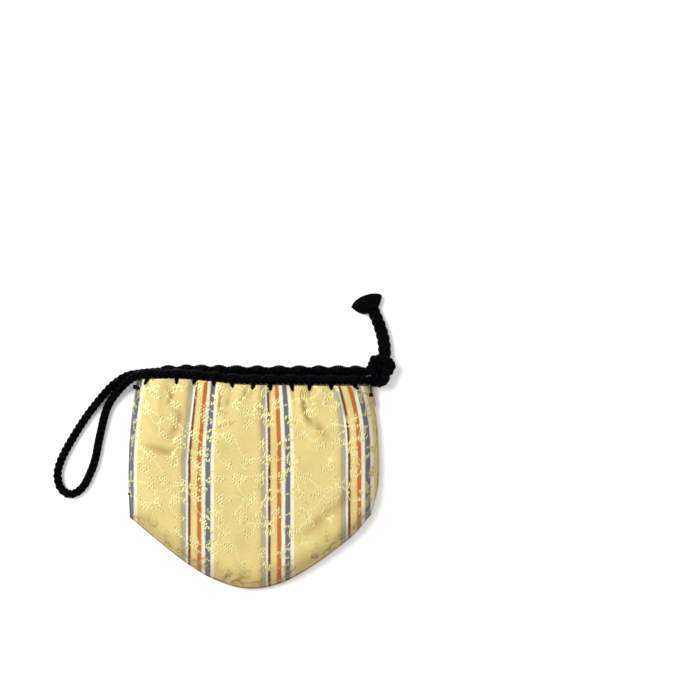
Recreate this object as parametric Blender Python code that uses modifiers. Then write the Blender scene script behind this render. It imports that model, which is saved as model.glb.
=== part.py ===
"""A lined brocade drawstring pouch, lying flat with its back panel on the table.

Metres, +Z up. +Y runs from the pointed bottom to the mouth, and +X to the knot of the cord.
"""

import math

import bmesh
import bpy
from mathutils import Vector

MM = 0.001

# Outline of the body, seen from above
BODY_WIDTH = 116.0 * MM
SIDE_HEIGHT = 62.0 * MM
POINT_DEPTH = 33.0 * MM
CORNER_Y = -19.1 * MM

# Heights and thicknesses
CLOTH = 0.8 * MM
LINING_CLOTH = 0.5 * MM
FIT_GAP = 0.3 * MM
SEAM_HEIGHT = 3.3 * MM
FRONT_RISE = 8.0 * MM
FRONT_RISE_AT_MOUTH = 6.2 * MM
BACK_MOUTH_LIFT = 2.5 * MM
EDGE_ROLL = 11.0 * MM
SEAM_FLANGE = 1.0 * MM
SLIT_DEPTH = 5.0 * MM
SLIT_OPENING = 0.6 * MM
MOUTH_REGION = 24.0 * MM

# Gathers below the mouth
PUFF = 0.9 * MM
PUFF_REACH = 11.0 * MM
PUFF_REACH_CHANGE = 5.0 * MM

# Cord, loops and tacks
CORD_DIAMETER = 3.8 * MM
THREAD_DIAMETER = 1.0 * MM
LEG_LENGTH = 2.6 * MM
INNER_LEG_LENGTH = 1.4 * MM
INNER_LEG_CLEARANCE = 4.0 * MM
RUNNING_ANGLE = math.radians(-116)
LEG_START = 0.2 * MM
RUN_PAST_END_LOOP = 1.0
TACK_LENGTH = 3.2 * MM
TACK_CLEARANCE = 0.4 * MM
TACK_REACH = 1.0 * MM
TAIL_WIDTH = 5.8 * MM
TAIL_HEIGHT = 4.4 * MM
HEAD_THICKNESS = 4.2 * MM
HEAD_EDGE_ROUND = 1.5 * MM
KNOT_WRAP_DIAMETER = 4.8 * MM

# Lining bag, set in from the seams and the mouth edge
LINING_INSET = 3.4 * MM
LINING_HEM = 1.2 * MM
LINING_GAP = 0.4 * MM

# Grids of the cloth: columns and rows, and the finer steps beside a seam's flange, at the mouth and in the lining
FRONT_GRID = (45, 21)
BACK_GRID = (34, 16)
LINING_GRID = (24, 13)
SEAM_STEPS = (0.0, 1.2 * MM, 3.2 * MM, 6.0 * MM)
MOUTH_STEPS = (0.0, 2.5 * MM, 6.0 * MM, 11.0 * MM, 17.0 * MM)
LINING_SEAM_STEPS = (0.0, 2.0 * MM, 5.0 * MM)
LINING_MOUTH_STEPS = (0.0, 3.0 * MM, 8.0 * MM, 14.0 * MM)

# The outline as shares of BODY_WIDTH in X, and of SIDE_HEIGHT above the lower corners or POINT_DEPTH below them in Y
LEFT_SIDE = ((-0.494, 0.0), (-0.4995, 0.30), (-0.4925, 0.64), (-0.4775, 0.89))
RIGHT_SIDE = ((0.468, 0.02), (0.4985, 0.25), (0.4965, 0.63), (0.48, 0.85))
BOTTOM_EDGE = (
    (-0.494, 0.0),
    (-0.291, -0.58),
    (-0.159, -0.865),
    (-0.015, -1.0),
    (0.146, -0.865),
    (0.381, -0.30),
    (0.468, 0.02),
)
FRONT_MOUTH = ((-0.457, 1.03), (-0.30, 1.035), (-0.19, 1.02), (-0.05, 0.993), (0.15, 0.985), (0.466, 0.982))
BACK_MOUTH = ((-0.457, 1.04), (-0.34, 1.058), (0.0, 1.055), (0.35, 1.06), (0.452, 1.052))

# Places of the loops along the mouth, in X
FRONT_LOOPS = (-48.3, -34.9, -26.6, -17.8, -9.5, 0.2, 8.1, 17.8, 26.1, 35.8, 46.6)
BACK_LOOPS = (-39.4, -31.2, -24.4, -16.1, -7.9, 1.6, 11.7, 21.0, 30.3, 39.1, 47.0)

# The cord from the knot along the front mouth, round the free loop and back along the back mouth, in mm
CORD_ROUTE = (
    (53.6, 44.4, 8.2),
    (50.2, 44.4, 8.8),
    (46.5, 44.4, 9.2),
    (35.7, 44.4, 9.6),
    (21.4, 44.5, 9.6),
    (7.9, 44.6, 9.6),
    (-5.1, 44.8, 9.6),
    (-14.6, 45.5, 9.6),
    (-24.8, 46.6, 9.6),
    (-35.0, 47.1, 9.6),
    (-44.0, 47.3, 9.4),
    (-49.2, 47.2, 8.6),
    (-53.0, 46.6, 7.6),
    (-56.2, 45.0, 6.4),
    (-59.4, 42.5, 5.0),
    (-62.6, 39.3, 3.8),
    (-66.4, 34.3, 2.7),
    (-68.7, 29.0, 2.3),
    (-70.4, 22.1, 2.1),
    (-71.7, 16.3, 2.0),
    (-73.7, 6.6, 2.0),
    (-77.5, -2.7, 2.0),
    (-80.3, -6.4, 2.0),
    (-83.6, -8.3, 2.0),
    (-86.9, -8.0, 2.0),
    (-89.7, -5.0, 2.0),
    (-90.8, -0.4, 2.0),
    (-90.6, 2.8, 2.0),
    (-88.7, 8.4, 2.0),
    (-84.5, 16.3, 2.0),
    (-78.0, 26.6, 2.0),
    (-72.2, 34.3, 2.0),
    (-65.5, 41.8, 2.0),
    (-59.1, 46.2, 2.0),
    (-53.6, 47.4, 2.1),
    (-47.1, 48.1, 2.5),
    (-39.5, 48.6, 3.2),
    (-31.3, 48.9, 3.3),
    (-14.7, 48.7, 3.3),
    (-1.7, 48.5, 3.3),
    (20.9, 48.5, 3.3),
    (39.0, 48.5, 3.3),
    (46.9, 48.4, 3.4),
    (53.6, 48.3, 3.9),
)
CORD_POINTS = 79

# The knot's wraps, the plait beyond it and the head on its end, in mm
KNOT_WRAPS = (
    ((56.8, 44.5, 6.6), (58.0, 43.3, 7.6), (60.4, 43.6, 7.4), (62.2, 46.2, 5.8), (61.8, 49.2, 4.4)),
    ((56.5, 51.2, 4.6), (57.6, 53.0, 5.6), (60.0, 53.0, 6.8), (62.8, 50.8, 7.2), (63.0, 48.2, 6.2)),
    ((56.7, 49.0, 6.6), (58.0, 47.2, 4.6), (60.2, 46.4, 3.4), (62.6, 49.0, 3.4), (62.0, 51.6, 4.0)),
)
KNOT_HEART = (59.4, 48.2, 5.6)
TAIL_ROUTE = (
    (60.4, 56.8, 2.7),
    (60.3, 60.2, 2.6),
    (59.8, 63.9, 2.5),
    (58.9, 67.6, 2.4),
    (57.5, 71.4, 2.4),
    (55.1, 76.1, 2.4),
)
HEAD_OUTLINE = (
    (45.2, 78.4),
    (46.7, 80.8),
    (49.8, 83.0),
    (53.5, 84.3),
    (57.9, 84.3),
    (59.2, 83.3),
    (58.9, 81.0),
    (57.6, 77.9),
    (51.9, 75.2),
    (49.1, 75.4),
    (46.0, 76.7),
)
TAIL_CLEARANCE = 0.1 * MM

PARTS = "drawstring_pouch"


def smooth_line(points):
    """A smooth line through the points, as a function of the share of its length from the first."""
    knots = [0.0]
    for before, after in zip(points, points[1:]):
        knots.append(knots[-1] + (after - before).length)
    knots = [knot / knots[-1] for knot in knots]
    last = len(points) - 1
    slopes = []
    for i in range(last + 1):
        low, high = max(i - 1, 0), min(i + 1, last)
        slopes.append((points[high] - points[low]) / (knots[high] - knots[low]))

    def at(share):
        i = 0
        while i < last - 1 and share > knots[i + 1]:
            i += 1
        span = knots[i + 1] - knots[i]
        u = (share - knots[i]) / span
        return (
            points[i] * (2 * u**3 - 3 * u**2 + 1)
            + slopes[i] * span * (u**3 - 2 * u**2 + u)
            + points[i + 1] * (3 * u**2 - 2 * u**3)
            + slopes[i + 1] * span * (u**3 - u**2)
        )

    return at


def outline(shares):
    """A smooth line through points given as shares of the body's size."""
    placed = []
    for x, y in shares:
        height = y * (SIDE_HEIGHT if y > 0 else POINT_DEPTH)
        placed.append(Vector((x * BODY_WIDTH, CORNER_Y + height)))
    return smooth_line(placed)


def smoothstep(x):
    x = min(max(x, 0.0), 1.0)
    return x * x * (3 - 2 * x)


def roll(distance):
    """Share of the full height at a distance from a seam: a flat flange, then a rounded edge."""
    x = min(max((distance - SEAM_FLANGE) / EDGE_ROLL, 0.0), 1.0)
    return math.sqrt(1 - (1 - x) ** 2)


class Skin:
    """The outer face of one panel. s runs from the left side to the right, t from the bottom edge to the mouth."""

    def __init__(self, side, loops):
        self.side = side
        mouth = FRONT_MOUTH if side > 0 else BACK_MOUTH
        self.bottom = outline(BOTTOM_EDGE)
        self.mouth = outline(mouth)
        self.left = outline((*LEFT_SIDE, mouth[0]))
        self.right = outline((*RIGHT_SIDE, mouth[-1]))
        self.loops = [self.share_at(x * MM) for x in loops]

    def share_at(self, x):
        """The share of the mouth's length at which it passes x."""
        low, high = 0.0, 1.0
        for _ in range(40):
            middle = (low + high) / 2
            if self.mouth(middle).x < x:
                low = middle
            else:
                high = middle
        return (low + high) / 2

    def flat(self, s, t):
        along = self.bottom(s).lerp(self.mouth(s), t)
        across = self.left(t).lerp(self.right(t), s)
        low = self.bottom(0).lerp(self.bottom(1), s)
        high = self.mouth(0).lerp(self.mouth(1), s)
        return along + across - low.lerp(high, t)

    def length(self, s):
        return (self.mouth(s) - self.bottom(s)).length

    def puff(self, s, below_mouth):
        """How far the cloth stands out between two stitches."""
        stops = [0.0, *self.loops, 1.0]
        for i, (start, end) in enumerate(zip(stops, stops[1:])):
            if start <= s <= end:
                reach = PUFF_REACH + PUFF_REACH_CHANGE * math.sin(2.4 * i + 1)
                width = math.sin(math.pi * (s - start) / (end - start))
                return PUFF * width**2 * math.exp(-((below_mouth / reach) ** 2))
        return 0.0

    def height(self, s, t, puffed):
        half_gap = FIT_GAP / 2
        width = (self.right(t) - self.left(t)).length
        below_mouth = (1 - t) * self.length(s)
        near_mouth = smoothstep(1 - below_mouth / MOUTH_REGION)
        across = roll(min(s, 1 - s) * width)
        full = across * roll(t * self.length(s))
        puff = self.puff(s, below_mouth) * across if puffed else 0.0
        if self.side > 0:
            at_slit = smoothstep(1 - (1 - t) * self.length(0) / SLIT_DEPTH)
            slit = SLIT_OPENING * (1 - across) * at_slit
            rise = FRONT_RISE + (FRONT_RISE_AT_MOUTH - FRONT_RISE) * near_mouth
            return SEAM_HEIGHT + half_gap + CLOTH + rise * full + slit + puff
        seam = SEAM_HEIGHT - half_gap - CLOTH
        resting = seam * (1 - min(1.0, 1.06 * full))
        lifted = BACK_MOUTH_LIFT * near_mouth
        return max(resting, min(lifted, seam + lifted * across)) - puff * near_mouth

    def at(self, s, t, puffed=True):
        place = self.flat(s, t)
        return Vector((place.x, place.y, self.height(s, t, puffed)))

    def normal(self, s, t, puffed=True):
        step = 0.004
        across = self.at(min(s + step, 1), t, puffed) - self.at(max(s - step, 0), t, puffed)
        along = self.at(s, min(t + step, 1), puffed) - self.at(s, max(t - step, 0), puffed)
        return across.cross(along).normalized() * self.side

    def inside(self, s, t, depth, puffed=True):
        """A point at a depth behind the outer face."""
        return self.at(s, t, puffed) - self.normal(s, t, puffed) * depth


FRONT = Skin(1, FRONT_LOOPS)
BACK = Skin(-1, BACK_LOOPS)


def spread(count, length, fine_start, fine_end):
    """Shares from 0 to 1 with given distances at each end and even steps between them."""
    start = [distance / length for distance in fine_start]
    end = [1 - distance / length for distance in reversed(fine_end)]
    middle = count - len(start) - len(end)
    step = (end[0] - start[-1]) / (middle + 1)
    return start + [start[-1] + step * (i + 1) for i in range(middle)] + end


def material(name, colour, roughness, metallic=0.0):
    made = bpy.data.materials.new(name)
    made.use_nodes = True
    shader = made.node_tree.nodes["Principled BSDF"]
    shader.inputs["Base Color"].default_value = (*colour, 1)
    shader.inputs["Roughness"].default_value = roughness
    shader.inputs["Metallic"].default_value = metallic
    return made


def new_object(name, mesh, look, collection):
    made = bpy.data.objects.new(name, mesh)
    made.data.materials.append(look)
    collection.objects.link(made)
    return made


def panel(name, skin, grid_size, look, collection):
    """One brocade panel: a grid laid on its outer face and thickened inwards."""
    columns, rows = grid_size
    sides = [0, *(SEAM_FLANGE + step for step in SEAM_STEPS)]
    across = spread(columns, BODY_WIDTH, sides, sides)
    along = spread(rows, skin.length(0.5), sides, MOUTH_STEPS)
    grid = bmesh.new()
    bmesh.ops.create_grid(grid, x_segments=columns - 1, y_segments=rows - 1, size=0.5)
    for vert in grid.verts:
        s = across[round((vert.co.x + 0.5) * (columns - 1))]
        t = along[round((vert.co.y + 0.5) * (rows - 1))]
        vert.co = skin.at(s, t)
    if skin.side < 0:
        bmesh.ops.reverse_faces(grid, faces=grid.faces)
    mesh = bpy.data.meshes.new(name)
    grid.to_mesh(mesh)
    grid.free()
    mesh.shade_smooth()
    made = new_object(name, mesh, look, collection)
    thickness = made.modifiers.new("Cloth thickness", "SOLIDIFY")
    thickness.thickness = CLOTH
    thickness.offset = -1
    thickness.use_even_offset = True
    return made


def lining(look, collection):
    """The lining: two faces that share one edge round the sides and the bottom, open at the mouth."""
    columns, rows = LINING_GRID
    depth = CLOTH + LINING_GAP
    sides = [LINING_INSET + step for step in LINING_SEAM_STEPS]
    across = spread(columns, BODY_WIDTH, sides, sides)
    mouth = [LINING_HEM + step for step in LINING_MOUTH_STEPS]
    bag = bmesh.new()
    rims = {}

    def vertex(skin, i, j):
        s = across[i]
        t = spread(rows, skin.length(s), sides, mouth)[j]
        if i in (0, columns - 1) or j == 0:
            if (i, j) not in rims:
                place = FRONT.flat(s, t)
                rims[i, j] = bag.verts.new((place.x, place.y, SEAM_HEIGHT))
            return rims[i, j]
        return bag.verts.new(skin.inside(s, t, depth, False))

    for skin in (FRONT, BACK):
        verts = [[vertex(skin, i, j) for j in range(rows)] for i in range(columns)]
        for i in range(columns - 1):
            for j in range(rows - 1):
                corners = [verts[i][j], verts[i + 1][j], verts[i + 1][j + 1], verts[i][j + 1]]
                bag.faces.new(corners if skin.side > 0 else corners[::-1])
    mesh = bpy.data.meshes.new("lining")
    bag.to_mesh(mesh)
    bag.free()
    mesh.shade_smooth()
    made = new_object("lining", mesh, look, collection)
    thickness = made.modifiers.new("Lining thickness", "SOLIDIFY")
    thickness.thickness = LINING_CLOTH
    thickness.offset = -1
    return made


def tube(name, points, diameter, look, collection, sides=6):
    """A round tube along the points, as a closed mesh."""
    curve = bpy.data.curves.new(name, "CURVE")
    curve.dimensions = "3D"
    curve.bevel_depth = diameter / 2
    curve.bevel_resolution = (sides - 4) // 2
    curve.use_fill_caps = True
    spline = curve.splines.new("POLY")
    spline.points.add(len(points) - 1)
    for point, place in zip(spline.points, points):
        point.co = (*place, 1)
    guide = bpy.data.objects.new(name, curve)
    collection.objects.link(guide)
    return solid_of(guide, name, look, collection)


def solid_of(guide, name, look, collection):
    """Turns a curve object into a mesh object whose caps are welded on."""
    bpy.context.view_layer.update()
    mesh = bpy.data.meshes.new_from_object(guide.evaluated_get(bpy.context.evaluated_depsgraph_get()))
    place = guide.matrix_world.copy()
    bpy.data.objects.remove(guide)
    welded = bmesh.new()
    welded.from_mesh(mesh)
    bmesh.ops.remove_doubles(welded, verts=welded.verts, dist=1e-6)
    bmesh.ops.recalc_face_normals(welded, faces=welded.faces)
    welded.to_mesh(mesh)
    welded.free()
    mesh.materials.clear()
    mesh.shade_smooth()
    made = new_object(name, mesh, look, collection)
    made.matrix_world = place
    return made


def join(base, pieces, crossing=False):
    """Makes one solid of the base and the pieces, and removes the pieces."""
    for piece in pieces:
        union = base.modifiers.new("Join", "BOOLEAN")
        union.operation = "UNION"
        union.solver = "EXACT"
        union.use_self = crossing
        union.object = piece
    bpy.context.view_layer.update()
    graph = bpy.context.evaluated_depsgraph_get()
    mesh = bpy.data.meshes.new_from_object(base.evaluated_get(graph))
    base.modifiers.clear()
    base.data = mesh
    for piece in pieces:
        bpy.data.objects.remove(piece)
    return base


def cord_line():
    return smooth_line([Vector(point) * MM for point in CORD_ROUTE])


def cord_centre(line, x, on_front):
    """The centre of the cord where it passes x along one mouth edge."""
    low, high = (0.0, 0.3) if on_front else (0.7, 1.0)
    rising = line(high).x > line(low).x
    for _ in range(40):
        middle = (low + high) / 2
        if (line(middle).x < x) == rising:
            low = middle
        else:
            high = middle
    return line((low + high) / 2)


def loop_path(skin, s, centre):
    """One loop: a leg on the outer face, round the cord and a short leg on the inner face."""
    radius = THREAD_DIAMETER / 2
    outer = -(FIT_GAP + radius)
    inner = CLOTH + LINING_GAP + LINING_CLOTH + FIT_GAP + radius
    length = skin.length(s)
    legs_out = [LEG_LENGTH, LEG_LENGTH / 2, LEG_START]
    legs_in = [LEG_START, INNER_LEG_LENGTH]
    points = [skin.inside(s, 1 - below / length, outer, False) for below in legs_out]
    turn = CORD_DIAMETER / 2 + FIT_GAP + radius
    for angle in (125, 78, 26, -26, -78, -125):
        y = turn * math.cos(math.radians(angle))
        z = turn * math.sin(math.radians(angle)) * skin.side
        points.append(centre + Vector((0, y, z)))
    if min(s, 1 - s) * BODY_WIDTH > LINING_INSET + INNER_LEG_CLEARANCE:
        points += [skin.inside(s, 1 - below / length, inner, False) for below in legs_in]
    return points


def mouth_loops(name, skin, places, look, collection):
    """The loops along one mouth edge, joined by the thread that runs between them beside the cord."""
    line = cord_line()
    turn = CORD_DIAMETER / 2 + FIT_GAP + THREAD_DIAMETER / 2
    beside = Vector((0, turn * math.cos(RUNNING_ANGLE), turn * math.sin(RUNNING_ANGLE) * skin.side))
    loops = []
    for x in places:
        centre = cord_centre(line, x * MM, skin.side > 0)
        path = loop_path(skin, skin.share_at(x * MM), centre)
        loops.append(tube(f"loop_{x}", path, THREAD_DIAMETER, look, collection))
    stops = [places[0] - RUN_PAST_END_LOOP]
    for start, end in zip(places, places[1:]):
        stops += [start, (start + end) / 2]
    stops += [places[-1], places[-1] + RUN_PAST_END_LOOP]
    path = [cord_centre(line, x * MM, skin.side > 0) + beside for x in stops]
    return join(tube(name, path, THREAD_DIAMETER, look, collection), loops)


def bar_tack(name, side, look, collection):
    """A thread bar that wraps the side seam at the foot of its slit."""
    clear = TACK_CLEARANCE + THREAD_DIAMETER / 2
    s_edge = 0.0 if side < 0 else 1.0
    t = 1 - SLIT_DEPTH / FRONT.length(0)
    width = (FRONT.right(t) - FRONT.left(t)).length
    steps = [TACK_LENGTH, TACK_LENGTH * 0.8, TACK_LENGTH * 0.6, TACK_LENGTH * 0.45]
    points = [FRONT.inside(abs(s_edge - step / width), t, -clear) for step in steps]
    edge = FRONT.flat(s_edge, t)
    wrap = FIT_GAP / 2 + CLOTH + clear
    for angle in (90, 45, 0, -45, -90):
        out = side * TACK_REACH * math.cos(math.radians(angle))
        up = wrap * math.sin(math.radians(angle))
        points.append(Vector((edge.x + out, edge.y, SEAM_HEIGHT + up)))
    t_back = t_on_back(s_edge, edge.y)
    points.append(BACK.inside(abs(s_edge - SEAM_FLANGE / width), t_back, -clear))
    return tube(name, points, THREAD_DIAMETER, look, collection)


def t_on_back(s, y):
    low, high = 0.0, 1.0
    for _ in range(40):
        middle = (low + high) / 2
        if BACK.flat(s, middle).y < y:
            low = middle
        else:
            high = middle
    return (low + high) / 2


def drawstring(look, collection):
    line = cord_line()
    points = [line(i / (CORD_POINTS - 1)) for i in range(CORD_POINTS)]
    return tube("drawstring_cord", points, CORD_DIAMETER, look, collection, sides=8)


def knot(look, collection):
    """The knot: thick wraps that cross, with a neck for each end of the cord and one for the tail."""
    solids = []
    for i, wrap in enumerate(KNOT_WRAPS):
        line = smooth_line([Vector(point) * MM for point in wrap])
        points = [line(k / 8) for k in range(9)]
        solids.append(tube(f"wrap_{i}", points, KNOT_WRAP_DIAMETER, look, collection, sides=10))
    heart = Vector(KNOT_HEART) * MM
    ends = (
        (CORD_ROUTE[0], CORD_ROUTE[1], CORD_DIAMETER),
        (CORD_ROUTE[-1], CORD_ROUTE[-2], CORD_DIAMETER),
        (TAIL_ROUTE[0], TAIL_ROUTE[1], TAIL_HEIGHT),
    )
    for i, (end, before, diameter) in enumerate(ends):
        inwards = (Vector(end) - Vector(before)).normalized()
        face = Vector(end) * MM + inwards * FIT_GAP
        points = [face, face + inwards * diameter / 2, heart]
        solids.append(tube(f"neck_{i}", points, diameter, look, collection, sides=8))
    solids[0].name = "cord_knot"
    return join(solids[0], solids[1:], crossing=True)


def tail(look, collection):
    """The plait beyond the knot, wider than it is high."""
    section = bpy.data.curves.new("tail_section", "CURVE")
    section.dimensions = "2D"
    ring = section.splines.new("POLY")
    ring.use_cyclic_u = True
    sides = 12
    ring.points.add(sides - 1)
    for i, point in enumerate(ring.points):
        angle = 2 * math.pi * i / sides
        point.co = (TAIL_WIDTH / 2 * math.cos(angle), TAIL_HEIGHT / 2 * math.sin(angle), 0, 1)
    guide_section = bpy.data.objects.new("tail_section", section)
    collection.objects.link(guide_section)
    curve = bpy.data.curves.new("tail", "CURVE")
    curve.dimensions = "3D"
    curve.twist_mode = "Z_UP"
    curve.bevel_mode = "OBJECT"
    curve.bevel_object = guide_section
    curve.use_fill_caps = True
    line = smooth_line([Vector(point) * MM for point in TAIL_ROUTE])
    spline = curve.splines.new("POLY")
    spline.points.add(8)
    for i, point in enumerate(spline.points):
        point.co = (*line(i / 8), 1)
    guide = bpy.data.objects.new("tail", curve)
    collection.objects.link(guide)
    made = solid_of(guide, "braided_tail", look, collection)
    bpy.data.objects.remove(guide_section)
    return made


def tail_head(look, collection):
    """The flat head: an outline with well rounded edges."""
    curve = bpy.data.curves.new("head", "CURVE")
    curve.dimensions = "2D"
    curve.fill_mode = "BOTH"
    curve.bevel_depth = HEAD_EDGE_ROUND
    curve.bevel_resolution = 2
    curve.offset = -HEAD_EDGE_ROUND
    curve.extrude = HEAD_THICKNESS / 2 - HEAD_EDGE_ROUND
    spline = curve.splines.new("POLY")
    spline.use_cyclic_u = True
    spline.points.add(len(HEAD_OUTLINE) - 1)
    for point, (x, y) in zip(spline.points, HEAD_OUTLINE):
        point.co = (x * MM, y * MM, 0, 1)
    guide = bpy.data.objects.new("head", curve)
    guide.location.z = HEAD_THICKNESS / 2 + TAIL_CLEARANCE
    collection.objects.link(guide)
    return solid_of(guide, "tail_head", look, collection)


def main():
    for old in list(bpy.data.objects):
        bpy.data.objects.remove(old)
    parts = bpy.data.collections.new(PARTS)
    bpy.context.scene.collection.children.link(parts)
    brocade = material("brocade", (0.78, 0.65, 0.27), 0.6)
    lining_silk = material("lining_silk", (0.8, 0.62, 0.5), 0.7)
    cord_silk = material("cord_silk", (0.01, 0.01, 0.014), 0.6)
    panel("front_panel", FRONT, FRONT_GRID, brocade, parts)
    panel("back_panel", BACK, BACK_GRID, brocade, parts)
    lining(lining_silk, parts)
    mouth_loops("front_mouth_loops", FRONT, FRONT_LOOPS, cord_silk, parts)
    mouth_loops("back_mouth_loops", BACK, BACK_LOOPS, cord_silk, parts)
    bar_tack("left_bar_tack", -1, cord_silk, parts)
    bar_tack("right_bar_tack", 1, cord_silk, parts)
    drawstring(cord_silk, parts)
    knot(cord_silk, parts)
    tail(cord_silk, parts)
    tail_head(cord_silk, parts)


main()
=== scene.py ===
"""The finish of a lined brocade drawstring pouch that lies flat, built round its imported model.

Metres, +Z up. +Y runs from the pointed bottom to the mouth, and +X to the knot of the cord.
"""

import math

import bpy
import numpy as np
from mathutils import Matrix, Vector


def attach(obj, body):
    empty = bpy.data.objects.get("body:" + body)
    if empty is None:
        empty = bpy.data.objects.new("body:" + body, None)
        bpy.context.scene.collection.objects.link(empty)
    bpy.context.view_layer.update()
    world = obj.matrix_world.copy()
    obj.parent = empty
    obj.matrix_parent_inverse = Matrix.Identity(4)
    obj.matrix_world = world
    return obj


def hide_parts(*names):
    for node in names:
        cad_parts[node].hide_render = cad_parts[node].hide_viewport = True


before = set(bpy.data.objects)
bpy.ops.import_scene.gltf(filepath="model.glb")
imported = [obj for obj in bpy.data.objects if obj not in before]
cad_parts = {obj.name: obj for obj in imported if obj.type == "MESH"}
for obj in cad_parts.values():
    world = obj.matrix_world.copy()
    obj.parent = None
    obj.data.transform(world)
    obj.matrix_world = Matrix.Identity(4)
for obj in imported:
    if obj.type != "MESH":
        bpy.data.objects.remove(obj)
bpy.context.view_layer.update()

MM = 0.001

# The photograph's frame: pixels a side, metres a pixel and the point in its middle
PHOTO_SIDE = 700
PIXEL = 0.4625 * MM
VIEW_CENTRE = Vector((44.6, 58.3, 3.0)) * MM
LENS = 100.0
SENSOR = 36.0
VIEW_HEIGHT = PHOTO_SIDE * PIXEL * LENS / SENSOR

# Body and cloth, as in the solids
BODY_WIDTH = 116.0 * MM
SIDE_HEIGHT = 62.0 * MM
POINT_DEPTH = 33.0 * MM
CORNER_Y = -19.1 * MM
CLOTH = 0.8 * MM
LINING_CLOTH = 0.5 * MM
FIT_GAP = 0.3 * MM
SEAM_HEIGHT = 3.3 * MM
FRONT_RISE = 8.0 * MM
FRONT_RISE_AT_MOUTH = 6.2 * MM
BACK_MOUTH_LIFT = 2.5 * MM
EDGE_ROLL = 11.0 * MM
SEAM_FLANGE = 1.0 * MM
SLIT_DEPTH = 5.0 * MM
SLIT_OPENING = 0.6 * MM
MOUTH_REGION = 24.0 * MM
PUFF = 0.9 * MM
PUFF_REACH = 11.0 * MM
PUFF_REACH_CHANGE = 5.0 * MM
TUCK_DEPTH = 0.5 * MM
TUCK_WIDTH = 0.65 * MM
TUCK_REACH = 5.0 * MM
TUCK_REACH_CHANGE = 2.5 * MM
SHOWN_CLOTH = 0.6 * MM
LINING_INSET = 3.4 * MM
LINING_HEM = 1.2 * MM
LINING_GAP = 0.4 * MM
LINING_SHOWN = 0.9 * MM

# Cord, threads, plait and head
CORD_DIAMETER = 3.8 * MM
THREAD_DIAMETER = 1.0 * MM
# Silk flattens where it lies on the table, and comes no lower than this
REST_HEIGHT = 0.05 * MM
RUNNING_ANGLE = math.radians(-28)
LEG_LENGTH = 2.1 * MM
HEAD_THICKNESS = 4.2 * MM

# The outline in shares: of BODY_WIDTH in X, and in Y of SIDE_HEIGHT or, below the corners, of POINT_DEPTH
LEFT_SIDE = ((-0.494, 0.0), (-0.4995, 0.30), (-0.4925, 0.64), (-0.4775, 0.89))
RIGHT_SIDE = ((0.468, 0.02), (0.4985, 0.25), (0.4965, 0.63), (0.48, 0.85))
BOTTOM_EDGE = (
    (-0.494, 0.0),
    (-0.291, -0.58),
    (-0.159, -0.865),
    (-0.015, -1.0),
    (0.146, -0.865),
    (0.381, -0.30),
    (0.468, 0.02),
)
FRONT_MOUTH = ((-0.457, 1.03), (-0.30, 1.035), (-0.19, 1.02), (-0.05, 0.993), (0.15, 0.985), (0.466, 0.982))
BACK_MOUTH = ((-0.457, 1.04), (-0.34, 1.058), (0.0, 1.055), (0.35, 1.06), (0.452, 1.052))

# Places of the loops along the mouth, in X, and how far their thread runs on past the last of them, in mm
FRONT_LOOPS = (-48.3, -34.9, -26.6, -17.8, -9.5, 0.2, 8.1, 17.8, 26.1, 35.8, 46.6)
BACK_LOOPS = (-39.4, -31.2, -24.4, -16.1, -7.9, 1.6, 11.7, 21.0, 30.3, 39.1, 47.0)
RUN_PAST_END_LOOP = 4.5

# The cord from the knot along the front mouth, round the free loop and back along the back mouth, in mm
CORD_ROUTE = (
    (53.6, 44.4, 8.2), (50.2, 44.4, 8.8), (46.5, 44.4, 9.2), (35.7, 44.4, 9.6), (21.4, 44.5, 9.6),
    (7.9, 44.6, 9.6), (-5.1, 44.8, 9.6), (-14.6, 45.5, 9.6), (-24.8, 46.6, 9.6), (-35.0, 47.1, 9.6),
    (-44.0, 47.3, 9.4), (-49.2, 47.2, 8.6), (-53.0, 46.6, 7.6), (-56.2, 45.0, 6.4), (-59.4, 42.5, 5.0),
    (-62.6, 39.3, 3.8), (-66.4, 34.3, 2.7), (-68.7, 29.0, 2.3), (-70.4, 22.1, 2.1), (-71.7, 16.3, 2.0),
    (-73.7, 6.6, 2.0), (-77.5, -2.7, 2.0), (-80.3, -6.4, 2.0), (-83.6, -8.3, 2.0), (-86.9, -8.0, 2.0),
    (-89.7, -5.0, 2.0), (-90.8, -0.4, 2.0), (-90.6, 2.8, 2.0), (-88.7, 8.4, 2.0), (-84.5, 16.3, 2.0),
    (-78.0, 26.6, 2.0), (-72.2, 34.3, 2.0), (-65.5, 41.8, 2.0), (-59.1, 46.2, 2.0), (-53.6, 47.4, 2.1),
    (-47.1, 48.1, 2.5), (-39.5, 48.6, 3.2), (-31.3, 48.9, 3.3), (-14.7, 48.7, 3.3), (-1.7, 48.5, 3.3),
    (20.9, 48.5, 3.3), (39.0, 48.5, 3.3), (46.9, 48.4, 3.4), (53.6, 48.3, 3.9),
)

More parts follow.
